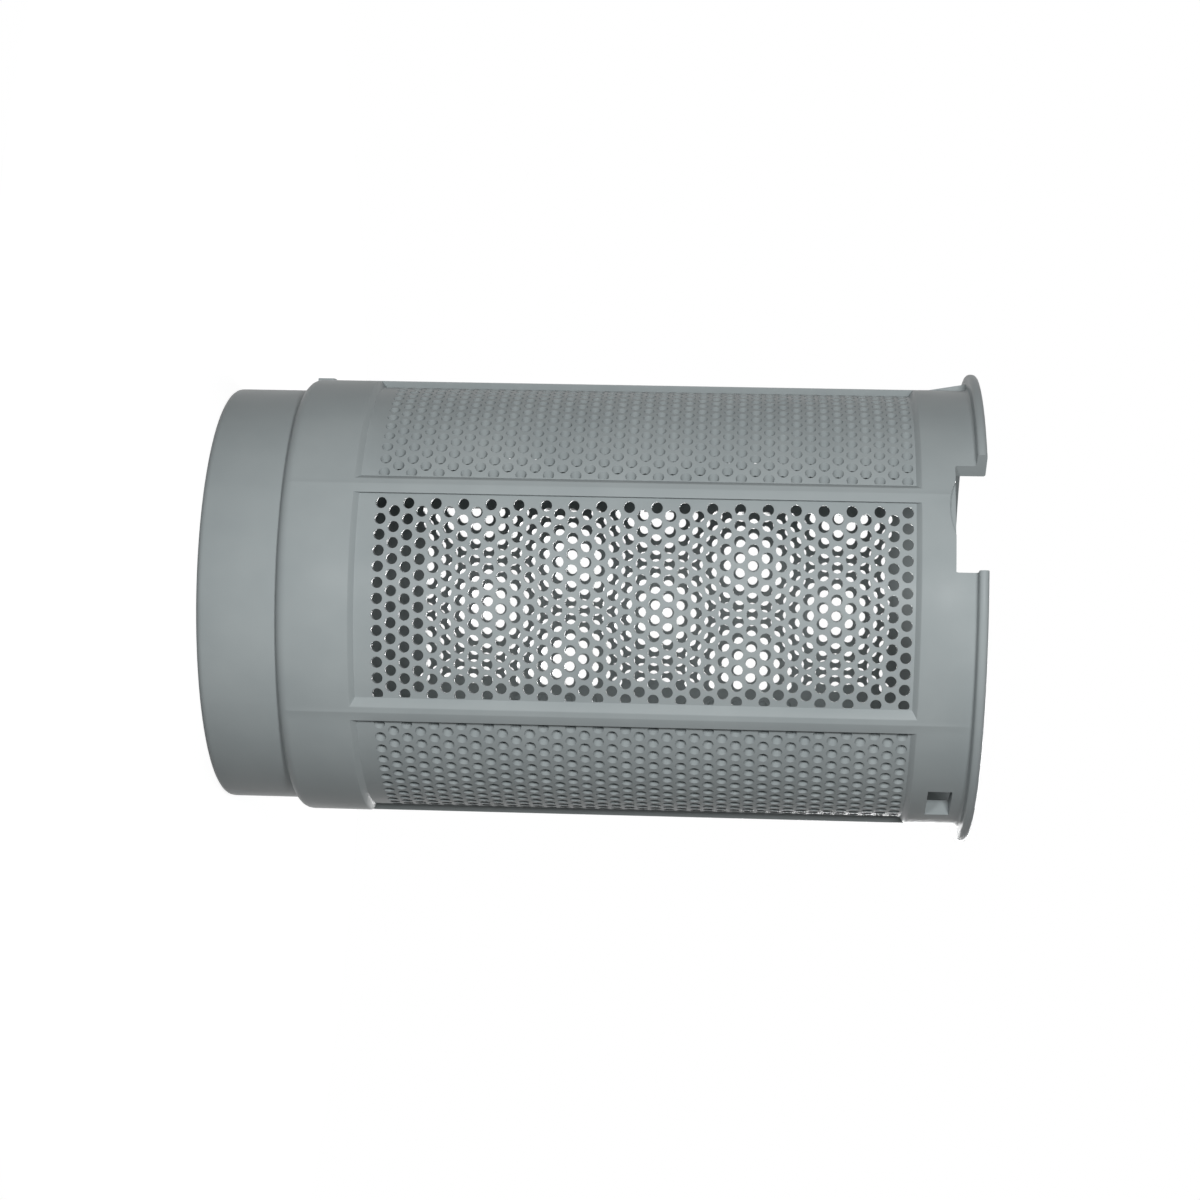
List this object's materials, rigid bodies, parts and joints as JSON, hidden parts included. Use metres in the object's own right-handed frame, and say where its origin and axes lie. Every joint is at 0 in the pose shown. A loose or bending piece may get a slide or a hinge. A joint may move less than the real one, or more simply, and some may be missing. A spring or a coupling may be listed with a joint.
{
  "type": "cylindrical filter screen",
  "caption": "Perforated plastic cylinder with a plain spigot, recessed screen panels between ribs, and a notched flange at the wide end.",
  "frame": {"origin": "centre of the spigot's end face, which the part stands on", "axes": "+Z along the cylinder's axis, from the spigot to the flange; -Y through the middle of the panel that faces the picture's camera"},
  "size_m": [0.086, 0.086, 0.1366],
  "materials": {
    "moulded_plastic": "satin, blue-grey, as moulded"
  },
  "bodies": {
    "root": {"filter_screen": "moulded_plastic"}
  },
  "joints": []
}
